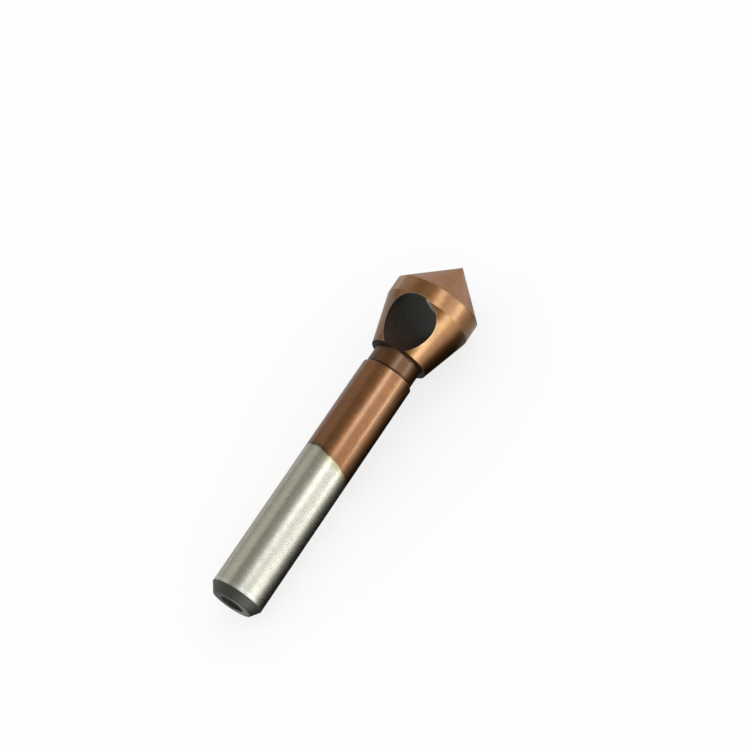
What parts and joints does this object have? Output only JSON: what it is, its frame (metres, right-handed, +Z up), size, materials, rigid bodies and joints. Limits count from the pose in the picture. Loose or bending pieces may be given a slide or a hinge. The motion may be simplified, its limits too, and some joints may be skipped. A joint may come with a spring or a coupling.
{
  "type": "countersink bit",
  "caption": "Solid countersink and deburring bit: right-angle cone, oblique chip hole through a back-tapered head, neck and round shank.",
  "frame": {"origin": "centre of the part's outline, on the surface that it lies on", "axes": "+X along the lying tool towards the cone's point, +Z up through the rear mouth of the chip hole"},
  "size_m": [0.045, 0.01, 0.0101],
  "materials": {
    "tool_steel": "ground steel, bare at the rear and coated copper brown from mid-shank to the point"
  },
  "bodies": {
    "root": {"countersink_bit": "tool_steel"}
  },
  "joints": []
}
